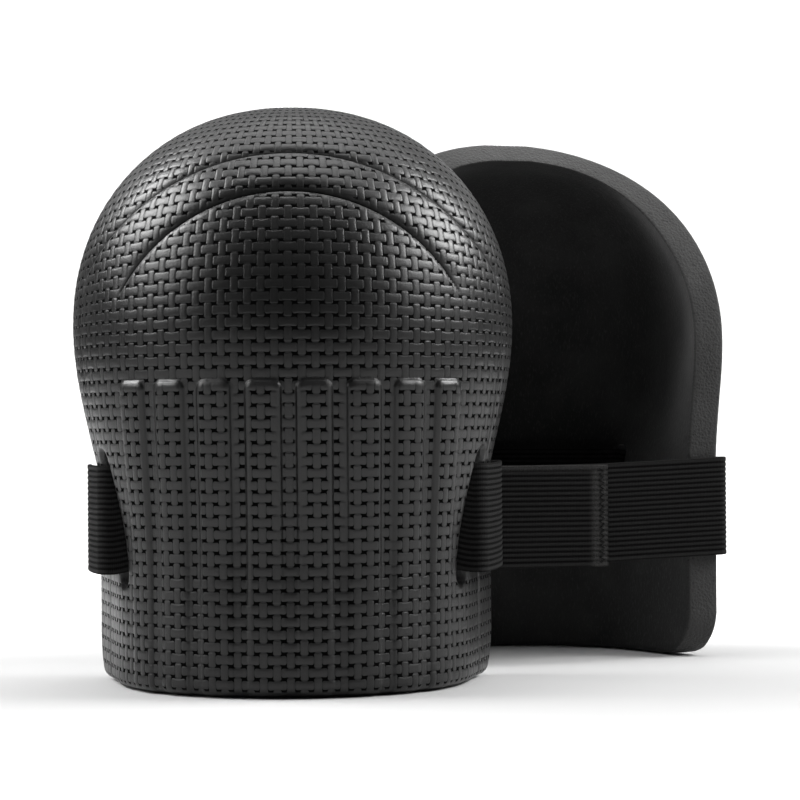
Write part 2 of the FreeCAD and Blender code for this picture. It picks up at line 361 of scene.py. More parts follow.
def zip_rows(a, ua, b, ub, faces, flip=False):
    """Faces between two rows of vertices, quads where their parameters agree."""
    i = j = 0
    while i < len(a) - 1 or j < len(b) - 1:
        more_a, more_b = i < len(a) - 1, j < len(b) - 1
        if more_a and more_b and abs(ua[i + 1] - ub[j + 1]) < 1e-6:
            f = (a[i], a[i + 1], b[j + 1], b[j])
            i, j = i + 1, j + 1
        elif more_a and (not more_b or ua[i + 1] <= ub[j + 1]):
            f = (a[i], a[i + 1], b[j])
            i += 1
        else:
            f = (a[i], b[j + 1], b[j])
            j += 1
        faces.append(f[::-1] if flip else f)


SKIN, CUT, LINING = 0, 1, 2  # material slots of the cup
IN_STEP = 5  # inner columns are this many outer columns apart
FLAT_RINGS = 4  # divisions across the cut face
ROUND_STEPS = (0.33, 0.67, 1.0)  # divisions round its corners
CUT_V = 200.0  # pattern row of the cut face, clear of the skin's
TILE = 4.0  # millimetres of cut face to one unit of its pattern


class Soup:
    """Vertices with pattern coordinates and two values for the materials (on the cup, the pressed
    weave and the mask of painted crease shade), and faces with a material index.
    """

    def __init__(self):
        self.points, self.coords, self.calms, self.faces, self.kinds = [], [], [], [], []
        self.count = 0

    def add(self, pts, coords, calms=None):
        pts = np.asarray(pts, float)
        self.points.append(pts)
        self.coords.append(np.asarray(coords, float))
        self.calms.append(np.zeros((len(pts), 2)) if calms is None else calms)
        ids = np.arange(self.count, self.count + len(pts))
        self.count += len(pts)
        return ids

    def mark(self, kind):
        self.kinds += [kind] * (len(self.faces) - len(self.kinds))

    def mesh(self, name):
        me = bpy.data.meshes.new(name)
        me.from_pydata(np.concatenate(self.points).tolist(), [],
                       [tuple(int(k) for k in f) for f in self.faces])
        me.polygons.foreach_set("material_index", np.array(self.kinds, np.int32))
        corner = np.zeros(len(me.loops), np.int32)
        me.loops.foreach_get("vertex_index", corner)
        for layer, values in (("UVMap", self.coords), ("CalmFrayShade", self.calms)):
            values = np.concatenate(values)
            if layer == "UVMap" or values.any():
                data = me.uv_layers.new(name=layer).data
                data.foreach_set("uv", values[corner].astype(np.float32).ravel())
        me.update()
        return me

    def shaded(self, name, angle, outwards=False):
        mesh = self.mesh(name)
        if outwards:
            face_outwards(mesh)
        shade(mesh, angle)
        return mesh


def snap_to_creases(u, v, edge):
    """Pull the last grid points of each lower lobe onto its edge, so that the step is clean."""
    below, above, most = -0.04, 0.32, 0.7    # where the points go, and their longest move
    for which in (0, 1):
        def slope(u, v):
            q = crease_fields(*locate(u, v))[which]
            return (q, (crease_fields(*locate(u + 0.2, v))[which] - q) / 0.2,
                    (crease_fields(*locate(u, v + 0.2))[which] - q) / 0.2)
        q, gu, gv = slope(u, v)
        deep = crease_depths(locate(u, v)[1])[which] > 0.25
        reach = np.maximum(np.abs(gu) * STEP_U, np.abs(gv) * STEP_V)
        last = (q < 0) & (q + reach > -0.02) & ~edge & deep
        first = (q >= 0) & (q < above) & ~edge & deep
        for _ in range(3):
            goal = np.where(last, below, np.where(first, above, q))
            g2 = np.maximum(gu * gu + gv * gv, 0.15)
            u = u + np.clip((goal - q) * gu / g2, -most, most)
            v = v + np.clip((goal - q) * gv / g2, -most, most)
            q, gu, gv = slope(u, v)
    return u, v


def build_cup():
    vs = np.arange(0.0, TOP_V, STEP_V)
    reach = row_reach(vs)
    vs, reach = vs[reach > 2.5], reach[reach > 2.5]
    soup = Soup()
    rows, params = [], []
    start = 0
    for v, top in zip(vs, reach):
        n = int((top - 0.3 * STEP_U) / STEP_U)
        u = np.concatenate([[-top], np.arange(-n, n + 1) * STEP_U, [top]])
        rows.append(np.arange(start, start + len(u)))
        params.append(u)
        start += len(u)
    u = np.concatenate(params)
    v = np.concatenate([np.full(len(pp), vv) for pp, vv in zip(params, vs)])
    edge = np.zeros(len(u), bool)
    for r in rows:
        edge[r[0]] = edge[r[-1]] = True
    edge[rows[0]] = edge[rows[-1]] = True
    u, v = snap_to_creases(u, v, edge)
    s, z = locate(u, v)
    p, nrm = outer(s, z), normals(s, z)
    fields = crease_fields(s, z)
    pressed = calm(s, z, p, *fields)
    lift = relief(u, v, s, z, p, pressed, *fields)
    pts = p + nrm * lift[:, None]
    # the second value is the mask of painted shade in the creases
    finish = np.stack([pressed, crease_shade(z, *fields)], -1)
    soup.add(pts, np.stack([u / CELL_U, v / CELL_V], -1), finish)
    for i in range(len(rows) - 1):
        zip_rows(rows[i], params[i], rows[i + 1], params[i + 1], soup.faces)
    soup.mark(SKIN)

    # the cut face round the back, from the lower left over the top to the lower right
    loop = np.array([r[0] for r in rows] + list(rows[-1][1:-1]) + [r[-1] for r in rows[::-1]])
    ln, lz = nrm[loop], z[loop]
    cut = rim_gap(p[loop][:, 1], lz)[1]
    r = corner_r(lz)[:, None]
    along = cut - np.sum(cut * ln, -1, keepdims=True) * ln
    along /= np.maximum(np.linalg.norm(along, axis=-1, keepdims=True), 1e-6)
    into = unit(-ln + np.sum(ln * cut, -1, keepdims=True) * cut)
    deep = (lining_depth(lz) + lift[loop])[:, None]
    deep = deep / np.maximum(-np.sum(into * ln, -1, keepdims=True), 0.5)
    base = pts[loop]
    corner = base + r * along
    far = corner + into * deep
    r_in = IN_ROUND * r
    rings = []

    def turn_corner(steps, start, tip, end):
        for t in steps:
            rings.append((1 - t) ** 2 * start + 2 * t * (1 - t) * tip + t * t * end)
    turn_corner(ROUND_STEPS, base, corner, corner + r * into)
    for i in range(1, FLAT_RINGS):
        rings.append(corner + into * (r + (deep - r - r_in) * i / FLAT_RINGS))
    turn_corner((0.0,) + ROUND_STEPS, far - r_in * into, far, far - r_in * along)
    walk = lengths(base)
    last, columns = loop, [loop]
    for n, ring in enumerate(rings):
        ids = soup.add(ring, np.stack([walk / TILE, np.full(len(ring), CUT_V + n)], -1))
        for i in range(len(ring) - 1):
            soup.faces.append((last[i], last[i + 1], ids[i + 1], ids[i]))
        last = ids
        columns.append(ids)
    soup.mark(CUT)

    # the lining, joined to the last ring
    n_rows = len(rows)
    left, right = last[:n_rows], last[-n_rows:][::-1]
    in_rows, in_params = [], []
    for i in range(n_rows - 1):
        top = params[i][-1]
        n = max(int((top - 1.5) / (STEP_U * IN_STEP)), 0)
        uu = np.arange(-n, n + 1) * STEP_U * IN_STEP
        ss, zz = locate(uu, np.full(len(uu), vs[i]))
        q = outer(ss, zz) - normals(ss, zz) * lining_depth(zz)[:, None]
        inside = rim_gap(q[:, 1], q[:, 2])[0] > 1.6
        uu, q = uu[inside], q[inside]
        ids = soup.add(q, np.stack([uu / CELL_U, np.full(len(uu), vs[i] / CELL_V)], -1))
        in_rows.append(np.concatenate([[left[i]], ids, [right[i]]]))
        in_params.append(np.concatenate([[-top], uu, [top]]))
    in_rows.append(last[n_rows - 1:len(last) - n_rows + 1])
    in_params.append(params[-1])
    for i in range(n_rows - 1):
        zip_rows(in_rows[i], in_params[i], in_rows[i + 1], in_params[i + 1], soup.faces, flip=True)
    soup.mark(LINING)

    # the lower edge the pad stands on
    zip_rows(rows[0], params[0], in_rows[0], in_params[0], soup.faces, flip=True)
    soup.faces += [[c[0] for c in columns], [c[-1] for c in columns][::-1]]
    soup.mark(CUT)
    return soup


def stadium_prism(side):
    """Cutter for one band slot, with its faces in the darker lining finish."""
    bm = bmesh.new()
    r = SLOT_W / 2.0
    ring = []
    for zc, a0 in ((SLOT_Z1 - r, 0.0), (SLOT_Z0 + r, math.pi)):
        for i in range(13):
            a = a0 + math.pi * i / 12
            ring.append((SLOT_Y + r * math.cos(a), zc + r * math.sin(a)))
    inner_x, outer_x = 35.0, 92.0
    ends = [[bm.verts.new((side * x, y, z)) for y, z in ring] for x in (inner_x, outer_x)]
    n = len(ring)
    for i in range(n):
        bm.faces.new((ends[0][i], ends[0][(i + 1) % n], ends[1][(i + 1) % n], ends[1][i]))
    bm.faces.new(ends[0][::-1])
    bm.faces.new(ends[1])
    bmesh.ops.recalc_face_normals(bm, faces=bm.faces)
    uv = bm.loops.layers.uv.new("UVMap")
    bm.loops.layers.uv.new("CalmFrayShade")
    for f in bm.faces:
        f.material_index = LINING
        f.smooth = True
        for c in f.loops:
            c[uv].uv = (c.vert.co.z / TILE, c.vert.co.x / TILE)
    me = bpy.data.meshes.new("slot_cutter")
    bm.to_mesh(me)
    bm.free()
    return me


def linked(name, mesh, *materials):
    o = bpy.data.objects.new(name, mesh)
    bpy.context.collection.objects.link(o)
    for m in materials:
        mesh.materials.append(m)
    return o


def shade(mesh, angle):
    mesh.polygons.foreach_set("use_smooth", np.ones(len(mesh.polygons), bool))
    mesh.set_sharp_from_angle(angle=math.radians(angle))


def face_outwards(mesh):
    bm = bmesh.new()
    bm.from_mesh(mesh)
    bmesh.ops.recalc_face_normals(bm, faces=bm.faces)
    bm.to_mesh(mesh)
    bm.free()


def cup_mesh(*mats):
    mesh = build_cup().mesh("foam_cup")
    face_outwards(mesh)
    cup = linked("cup_work", mesh, *mats)
    for side in (1, -1):
        tool = linked("slot_work", stadium_prism(side), *mats)
        cutter = cup.modifiers.new("slot", "BOOLEAN")
        cutter.operation, cutter.solver, cutter.object = "DIFFERENCE", "EXACT", tool
        cutter.material_mode = "INDEX"
    bpy.context.view_layer.update()
    dg = bpy.context.evaluated_depsgraph_get()
    done = bpy.data.meshes.new_from_object(cup.evaluated_get(dg))
    for o in [o for o in bpy.data.objects if o.name.startswith(("cup_work", "slot_work"))]:
        bpy.data.objects.remove(o)
    shade(done, 48)
    return done


def in_place(mesh, pad, mirror, name):
    """A copy of a pad-frame mesh set in the row frame."""
    new = mesh.copy()
    new.name = name
    co = np.zeros(len(mesh.vertices) * 3)
    mesh.vertices.foreach_get("co", co)
    new.vertices.foreach_set("co", to_row(co.reshape(-1, 3), pad, mirror).ravel())
    if mirror and PADS[pad][3] < 0:
        new.flip_normals()
    new.update()
    return new


# ---- materials ----
class Nodes:
    """Short-hand for building one procedural material."""

    def __init__(self, name, rough, spec=0.4, sheen=0.0):
        self.mat = bpy.data.materials.new(name)
        self.mat.use_nodes = True
        self.tree = self.mat.node_tree
        self.bsdf = self.tree.nodes["Principled BSDF"]
        self.place = self.node("TexCoord", {}, "Object")
        self.fill(self.bsdf, {"Roughness": rough, "Specular IOR Level": spec,
                              "Sheen Weight": sheen, "Sheen Roughness": 0.5})

    def fill(self, node, values):
        """Link or set a node's inputs."""
        for key, value in values.items():
            socket = node.inputs[key]
            if isinstance(value, bpy.types.NodeSocket):
                self.tree.links.new(value, socket)
            else:
                socket.default_value = value
        return node

    def node(self, kind, values, output=0, **settings):
        n = self.tree.nodes.new("ShaderNode" + kind)
        for key, value in settings.items():
            setattr(n, key, value)
        return self.fill(n, values).outputs[output]

    def math(self, op, a, b=0.0):
        return self.node("Math", {0: a, 1: b}, operation=op)

    def times(self, a, b):
        return self.math("MULTIPLY", a, b)

    def plus(self, a, b):
        return self.math("ADD", a, b)

    def minus(self, a, b):
        return self.math("SUBTRACT", a, b)

    def larger(self, a, b):
        return self.math("MAXIMUM", a, b)

    def ramp(self, value, lo, hi, to_lo=0.0, to_hi=1.0):
        return self.node("MapRange", {"Value": value, "From Min": lo, "From Max": hi,
                                      "To Min": to_lo, "To Max": to_hi},
                         interpolation_type="SMOOTHSTEP")

    def layer(self, name):
        return self.split(self.node("UVMap", {}, uv_map=name))

    def split(self, vector):
        """Its x and y, and z or nothing."""
        n = self.tree.nodes.new("ShaderNodeSeparateXYZ")
        return self.fill(n, {0: vector}).outputs

    def noise(self, scale, detail=3.0, rough=0.55, squash=None):
        at = self.place
        if squash:
            at = self.node("Mapping", {"Vector": at, "Scale": (1.0, 1.0, squash)})
        return self.node("TexNoise", {"Vector": at, "Scale": scale, "Detail": detail,
                                      "Roughness": rough}, "Fac")

    def cells(self, scale):
        return self.node("TexVoronoi", {"Vector": self.place, "Scale": scale}, "Distance")

    def mix(self, share, a, b):
        return self.node("Mix", {0: share, 6: a, 7: b}, 2, data_type="RGBA")

    def bump(self, height, distance, strength=1.0, under=None):
        values = {"Strength": strength, "Distance": distance, "Height": height}
        if under is not None:
            values["Normal"] = under
        return self.node("Bump", values)

    def finish(self, colour, normal):
        self.fill(self.bsdf, {"Base Color": colour, "Normal": normal})
        return self.mat


def grey(v, warm=0.0):
    """A grey, a little warmer by the share given."""
    return (v * (1.0 + warm), v, v * (1.0 - warm), 1.0)


def skin_material():
    """Moulded foam skin with a woven cloth's print: flat threads with painted shade in the gaps,
    scuffs.
    The pattern counts weave cells across and up. Its second uv layer holds calm() and
    crease_shade(), painted crease shade."""
    m = Nodes("foam_skin", 0.4, 0.5)
    a, b, _ = m.layer("UVMap")
    quiet, shadow, _ = m.layer("CalmFrayShade")
    ia, ib = m.math("ROUND", a), m.math("ROUND", b)

    def wave(kind, x):
        return m.math(kind, m.times(x, math.pi))
    # where the flat threads, and the upright ones, lie on top
    up_h = m.ramp(m.times(wave("COSINE", a), wave("COSINE", ib)), -0.58, -0.2)
    up_v = m.ramp(m.times(wave("COSINE", b), wave("COSINE", ia)), 0.27, -0.12)

    def profile(x, i, along, half, flare):
        """Rounded section of a thread, which gets wider halfway along each float."""
        end = wave("SINE", along)
        half = m.plus(half, m.times(m.times(end, end), flare))
        t = m.math("DIVIDE", m.math("ABSOLUTE", m.minus(x, i)), half)
        t = m.minus(1.0, m.math("POWER", m.math("MINIMUM", t, 1.0), 3.6))
        return m.math("POWER", m.larger(t, 0.0), 0.5)

    flat_h = m.times(profile(b, ib, a, 0.315, 0.065), m.ramp(up_h, 0.0, 1.0, 0.5, 1.0))
    flat_v = m.times(profile(a, ia, b, 0.28, 0.03), m.ramp(up_v, 0.0, 1.0, 0.5, 1.0))
    thread = m.larger(flat_h, flat_v)
    thread = m.plus(m.times(thread, m.minus(1.0, quiet)), m.times(quiet, 0.8))
    # painted shade: the gaps between threads and the rolled-under creases are darkened, and their
    # gloss is taken off
    gap_and_crease_shade = m.larger(m.ramp(thread, 0.65, 0.2), m.times(shadow, 0.9))
    fine = m.noise(2200.0, 2.0)
    grain = m.noise(600.0, 3.0)
    scuff = m.noise(38.0, 4.0, 0.6)
    worn = m.ramp(scuff, 0.42, 0.68)
    base = m.mix(worn, grey(0.006, 0.01), grey(0.0105, 0.01))
    # painted shade, near black, in the gaps and the creases
    base = m.mix(m.times(gap_and_crease_shade, 0.9), base, grey(0.001))
    tops = m.times(m.ramp(thread, 0.9, 1.0), m.times(grain, 0.3))
    base = m.mix(tops, base, grey(0.024, 0.01))
    # the ribs' outlines, as in rib_distance()
    across, high = m.times(m.math("ABSOLUTE", a), CELL_U), m.times(b, CELL_V)
    off = m.math("ABSOLUTE", m.minus(m.math("MODULO", across, RIB_PITCH), RIB_PITCH / 2))
    beyond = m.math("GREATER_THAN", across, RIBS_A_SIDE * RIB_PITCH)
    off = m.plus(off, m.times(beyond, 50.0))
    dx = m.minus(off, RIB_HALF - RIB_CORNER)
    dz = m.minus(high, RIB_TOP_V - RIB_CORNER)
    px, pz = m.larger(dx, 0.0), m.larger(dz, 0.0)
    far = m.math("SQRT", m.plus(m.times(px, px), m.times(pz, pz)))
    far = m.plus(far, m.math("MINIMUM", m.larger(dx, dz), 0.0))
    rib = m.ramp(m.minus(far, RIB_CORNER), 0.15, -0.85)
    faint = m.ramp(high, 10.0, RIB_TOP_V - 20.0, 0.35, 1.0)
    n = m.bump(m.times(rib, faint), 0.0005, 1.0)
    n = m.bump(thread, 0.00026, 0.6, n)
    n = m.bump(m.plus(fine, grain), 0.0001, 0.6, n)
    m.fill(m.bsdf, {"Specular IOR Level": m.ramp(gap_and_crease_shade, 0.0, 1.0, 0.44, 0.01)})
    rough = m.plus(0.38, m.times(m.minus(scuff, 0.5), 0.3))
    m.fill(m.bsdf, {"Roughness": m.plus(rough, m.times(gap_and_crease_shade, 0.3))})
    return m.finish(base, n)


def cut_material():
    """Cut edge of the foam: open fine cells, paler than the skin."""
    m = Nodes("foam_cut", 0.85, 0.25, 0.1)
    cell = m.cells(900.0)
    fine = m.noise(1300.0, 3.0, 0.7)
    broad = m.noise(60.0, 3.0)
    spots = m.noise(420.0, 2.0, 0.6)
    base = m.mix(m.ramp(cell, 0.05, 0.5), grey(0.016), grey(0.029, 0.01))
    base = m.mix(m.ramp(broad, 0.35, 0.7), base, grey(0.036, 0.01))
    base = m.mix(m.times(m.ramp(spots, 0.62, 0.74), 0.8), base, grey(0.012))
    return m.finish(base, m.bump(fine, 0.00025, 0.8, m.bump(cell, 0.0003, 0.6)))


def lining_material():
    """Inner face of the foam: a brushed knit with a soft nap."""
    m = Nodes("foam_lining", 0.88, 0.2, 0.12)
    wales = m.noise(1500.0, 2.0, squash=0.35)
    fine = m.noise(900.0, 4.0)
    broad = m.noise(30.0, 3.0)
    base = m.mix(m.ramp(broad, 0.35, 0.7), grey(0.02), grey(0.036, 0.01))
    base = m.mix(m.times(m.ramp(wales, 0.5, 0.8), 0.6), base, grey(0.06, 0.01))
    return m.finish(base, m.bump(fine, 0.0002, 0.5, m.bump(wales, 0.0002, 0.6)))


def elastic_material():
    """Woven elastic: cords along the length crossed by fine weft, with a little fuzz.
    The pattern runs along u in millimetres, and v is 0 to 1 across the width."""
    m = Nodes("ribbed_elastic", 0.75, 0.1, 0.0)
    u, v, _ = m.layer("UVMap")
    worn_end = m.layer("CalmFrayShade")[0]
    weft = m.math("SINE", m.times(u, 2.0 * math.pi / 0.62))
    fuzz = m.noise(1900.0, 3.0, 0.65, squash=2.2)
    patch = m.noise(45.0, 3.0)
    cord = m.math("COSINE", m.times(v, 2.0 * math.pi * CORDS))
    crest = m.ramp(m.minus(m.times(fuzz, 0.9), cord), -0.5, 1.3)
    base = m.mix(crest, grey(0.0042), grey(0.0092, 0.01))
    base = m.mix(m.times(m.ramp(fuzz, 0.58, 0.85), 0.4), base, grey(0.02, 0.01))
    side = m.times(m.math("ABSOLUTE", m.minus(v, 0.5)), 2.0)
    base = m.mix(m.times(m.ramp(side, 0.94, 0.99), 0.25), base, grey(0.025, 0.02))
    base = m.mix(m.times(m.ramp(patch, 0.45, 0.75), 0.25), base, grey(0.010, 0.01))
    base = m.mix(m.times(worn_end, m.ramp(fuzz, 0.25, 0.65)), base, grey(0.04, 0.02))
    m.fill(m.bsdf, {"Specular IOR Level": m.ramp(crest, 0.1, 0.9, 0.02, 0.1)})
    return m.finish(base, m.bump(fuzz, 0.0002, 0.6, m.bump(weft, 0.00006, 0.5)))


def raw_end_material():
    """Cut end of the elastic, with pale rubber threads among the yarn."""
    m = Nodes("elastic_end", 0.8, 0.3, 0.3)
    dots = m.cells(1100.0)
    fuzz = m.noise(2400.0, 3.0)
    base = m.mix(m.ramp(dots, 0.1, 0.4), grey(0.16, 0.03), grey(0.03, 0.02))
    return m.finish(m.mix(m.times(fuzz, 0.4), base, grey(0.09, 0.02)),
                    m.bump(fuzz, 0.0003, 0.8))


def pile_material():
    """Loop side of the tape: dense looped pile."""
    m = Nodes("loop_pile", 0.9, 0.2, 0.35)
    loops = m.cells(1400.0)
    fuzz = m.noise(2600.0, 4.0, 0.7)
    base = m.mix(m.ramp(loops, 0.1, 0.55), grey(0.035, 0.01), grey(0.008))
    base = m.mix(m.times(m.ramp(fuzz, 0.5, 0.8), 0.5), base, grey(0.07, 0.01))
    return m.finish(base, m.bump(fuzz, 0.0002, 0.7, m.bump(loops, 0.0003, 0.8)))


def hook_material():
    """Hook side of the tape: woven ground and moulded nylon hooks."""
    m = Nodes("hook_nylon", 0.38, 0.5, 0.05)
    weave_fine = m.noise(1700.0, 2.0, squash=0.4)
    patch = m.noise(90.0, 2.0)
    base = m.mix(m.ramp(weave_fine, 0.35, 0.7), grey(0.008), grey(0.03, 0.01))
    base = m.mix(m.times(patch, 0.25), base, grey(0.05, 0.01))
    return m.finish(base, m.bump(weave_fine, 0.00012, 0.6))


def thread_material():
    """Twisted polyester thread. u runs along the thread in millimetres."""
    m = Nodes("thread", 0.65, 0.15, 0.0)
    u, v, _ = m.layer("UVMap")
    ply = m.math("SINE", m.plus(m.times(u, 2 * math.pi / 0.5), m.times(v, 2 * math.pi)))
    fuzz = m.noise(5200.0, 2.0)
    base = m.mix(m.ramp(ply, -0.6, 0.8), grey(0.0012), grey(0.005, 0.01))
    base = m.mix(m.times(fuzz, 0.2), base, grey(0.015, 0.02))
    return m.finish(base, m.bump(ply, 0.00006, 0.8))


# ---- elastic band ----
# The run goes round inside the cup, out through the slots and round the back edges. Past the
# left one it is pulled flat behind the leg, and the flap from the right one lies over it.
BAND_T, BAND_W, BAND_Z, BAND_Z_IN = 1.6, 40.0, 37.0, 39.5
IN_R_LOW, IN_R_TOP, TURN_R = 50.3, 54.6, 4.0
OUT_X, OUT_LEAN, OUT_CTRL = 67.5, 12.0, (73.9, -2.0)
RIM_X, HINGE_Y, MAIN_Y, FLAP_Y = 74.6, 24.0, 27.2, 30.8
MAIN_END, TAB_END = 20.0, -22.8
AROUND, BEND, THROUGH, PAST, LEAD = 44, 10, 12, 34, 28  # steps along the parts of the run
FLAP_GAP = 0.3  # the flap turns this much tighter than the run under it
SLACK_W, PULLED_W = 38.6, 37.6  # shown width of the loose flap and of the pulled run
OUT_RISE, END_DROP = 2.5, -0.7  # the pulled run rides up, the flap's end sits a little low
CORDS = 20  # elastic cords across the width
CORD_H = 0.3  # how far a cord stands out of the band's face
JOIN_Y = 15.0  # butt joint of the fixed run and the flap, on the pad side
JOIN_X = 45.0  # butt joint of the flap's two lengths


def arc(cx, cy, r, a0, a1, n):
    a = np.radians(np.linspace(a0, a1, n + 1))
    return np.stack([cx + r * np.cos(a), cy + r * np.sin(a)], -1)


def run(p, q, n):
    w = np.linspace(0.0, 1.0, n + 1)[:, None]
    return np.array(p, float) * (1 - w) + np.array(q, float) * w


def lengths(path):
    """Length along a line up to each of its points."""
    return np.concatenate([[0.0], np.cumsum(np.linalg.norm(np.diff(path, axis=0), axis=1))])


def joined(*parts):
    return np.concatenate([parts[0]] + [p[1:] for p in parts[1:]])


def half_inside(r_in):
    """Centre line from the middle of the cup's inside to the bend outside the slot."""
    low_y = SLOT_Y - TURN_R
    turn_a = math.degrees(math.asin(-low_y / (r_in + TURN_R)))
    x = (r_in + TURN_R) * math.cos(math.radians(turn_a))
    out_c = OUT_X - TURN_R
    return joined(arc(0, 0, r_in, -90.0, -turn_a, AROUND),
                  arc(x, low_y, TURN_R, 180.0 - turn_a, 90.0, BEND),
                  run((x, SLOT_Y), (out_c, SLOT_Y), THROUGH),
                  arc(out_c, SLOT_Y + TURN_R, TURN_R, -90.0, -OUT_LEAN, BEND))


def rim_run(n, upto=HINGE_Y):
    """From the slot bend to the back edge, or the part of it up to a given y."""
    lean = math.radians(-OUT_LEAN)
    p = np.array([OUT_X - TURN_R + TURN_R * math.cos(lean),
                  SLOT_Y + TURN_R + TURN_R * math.sin(lean)])
    c, q = np.array(OUT_CTRL), np.array([RIM_X, HINGE_Y])
    w = np.linspace(0.0, 1.0, 400)[:, None]
    line = (1 - w) ** 2 * p + 2 * w * (1 - w) * c + w * w * q
    ys = np.linspace(line[0, 1], upto, n + 1)
    return np.stack([np.interp(ys, line[:, 1], line[:, 0]), ys], -1)


def half_z():
    """Lower edge along half the inner run, to match half_inside()."""
    inside, outside = BAND_Z_IN + BAND_W + 1.0 - PULLED_W, BAND_Z + OUT_RISE
    climb = smooth(np.arange(1, THROUGH + 1) / THROUGH)
    return np.concatenate([np.full(AROUND + BEND + 1, inside),
                           inside + (outside - inside) * climb, np.full(BEND, outside)])


def cross_section():
    """Offsets (across, out) of the band's outline, going round it: up the outer face and
    down the inner one, with the cords and a thicker rolled edge."""
    per = 6
    w = (np.arange(CORDS * per + 1) / (CORDS * per))[1:-1]
    cord = np.abs(np.sin(np.pi * CORDS * w)) ** 0.7
    side = np.abs(w - 0.5) * 2.0
    edge = smooth((side - 0.955) / 0.03)
    face = (BAND_T / 2 - CORD_H) + CORD_H * cord * (1 - edge) + CORD_H * edge
    up = np.stack([w * BAND_W, face], -1)
    down = np.stack([w[::-1] * BAND_W, -face[::-1]], -1)
    r = face[0]
    a = np.radians(np.linspace(90.0, -90.0, 7)[1:-1])
    lap = BAND_W / (CORDS * per)
    bulge = lap * 1.6 * np.cos(a)
    top = np.stack([BAND_W - lap + bulge, r * np.sin(a)], -1)
    low = np.stack([lap - bulge, -r * np.sin(a)], -1)
    return np.concatenate([up, top, down, low])


def ribbon(name, low, top, z_low, width, start_u=0.0, wobble=0.0, fuzz=None):
    """Band whose lower and upper edges follow two centre lines in the pad frame.
    fuzz gives how frayed it is at each length along it."""
    section = cross_section()
    n, m = len(low), len(section)

    def side_of(path):
        t = unit(np.gradient(path, axis=0))
        return np.stack([-t[:, 1], t[:, 0]], -1)
    n_low, n_top = side_of(low), side_of(top)
    across, out = section[:, 0] / BAND_W, section[:, 1]
    w = across[None, :, None]
    base = low[:, None, :] * (1 - w) + top[:, None, :] * w
    nrm = unit(n_low[:, None, :] * (1 - w) + n_top[:, None, :] * w)
    far = lengths((low + top) / 2)
    phase = np.random.default_rng(1).uniform(0, 6.28, 3)
    ripple = wobble * (np.sin(far / 23.0 + phase[0]) + 0.6 * np.sin(far / 9.0 + phase[1]))
    pts = np.empty((n, m, 3))
    pts[:, :, :2] = base + nrm * (out[None, :, None])
    edge_pull = (np.clip(across, 0, 1) - 0.5)[None, :] * ripple[:, None]
    wide = np.broadcast_to(width, n)[:, None] / BAND_W
    pts[:, :, 2] = np.asarray(z_low)[:, None] + section[None, :, 0] * wide + edge_pull
    coords = np.empty((n, m, 2))
    coords[:, :, 0] = (far + start_u)[:, None]
    coords[:, :, 1] = across[None, :]
    soup = Soup()
    calms = None
    if fuzz is not None:
        selvedge = 0.7 * smooth((across - 0.935) / 0.03)
        frayed = np.maximum(np.repeat(fuzz(far), m), np.tile(selvedge, n))
        calms = np.stack([frayed, frayed], -1)
    ids = soup.add(pts.reshape(-1, 3), coords.reshape(-1, 2), calms).reshape(n, m)
    for i in range(n - 1):
        for j in range(m):
            k = (j + 1) % m
            soup.faces.append((ids[i, j], ids[i + 1, j], ids[i + 1, k], ids[i, k]))
    soup.mark(0)
    soup.faces += [ids[0], ids[-1][::-1]]
    soup.mark(1)
    return soup.shaded(name, 70, outwards=True)


def fixed_run():
    low, top = half_inside(IN_R_LOW), half_inside(IN_R_TOP)
    flip = np.array([-1.0, 1.0])
    r = MAIN_Y - HINGE_Y
    lead = rim_run(LEAD, JOIN_Y)[::-1]
    back = joined(rim_run(PAST) * flip,
                  arc(-RIM_X + r, HINGE_Y, r, 180.0, 90.0, BEND),
                  run((-RIM_X + r, MAIN_Y), (MAIN_END, MAIN_Y), 60))
    lows = joined(lead, low[::-1], low * flip, back)
    tops = joined(lead, top[::-1], top * flip, back)
    more = 0.3                   # rise added on the way to the back edge
    rise = np.interp(back[1:, 0], [-RIM_X, -20.0, MAIN_END], [OUT_RISE + more, 0.65, 0.2])
    rise[:PAST] = OUT_RISE + more * np.arange(PAST) / PAST
    z = np.concatenate([np.full(LEAD, BAND_Z + OUT_RISE), half_z()[::-1], half_z()[1:],
                        BAND_Z + rise])
    return ribbon("fixed_run", lows, tops, z, PULLED_W, wobble=0.12)


def flap_lead():
    r = FLAP_Y - HINGE_Y - FLAP_GAP
    whole = rim_run(60)
    tail = whole[whole[:, 1] > JOIN_Y + 0.2]
    start = rim_run(10, JOIN_Y)[-1:]
    path = joined(np.concatenate([start, tail]),
                  arc(RIM_X - r, HINGE_Y + FLAP_GAP, r, 0.0, 90.0, 16),
                  run((RIM_X - r, FLAP_Y), (JOIN_X, FLAP_Y), 18))
    w = smooth(np.linspace(0.0, 1.0, len(path)))
    return ribbon("flap_lead", path, path, BAND_Z + OUT_RISE + (END_DROP - OUT_RISE) * w,
                  PULLED_W + (SLACK_W - PULLED_W) * w, fuzz=np.zeros_like)


def flap_end():
    path = run((JOIN_X, FLAP_Y), (TAB_END, FLAP_Y), 66)

    def near_end(far):
        return smooth((far - far[-1] + 8.0) / 3.0) * smooth((far[-1] - far) / 0.5 + 0.3)
    return ribbon("flap_end", path, path, np.full(len(path), BAND_Z + END_DROP), SLACK_W,
                  start_u=50.0, fuzz=near_end)


# ---- threads and tapes ----
TIP = 0.45  # thickness of a thread's two tips, as a share
NEEDLE_DOWN = 0.16  # how far the zigzag dips at the needle's holes


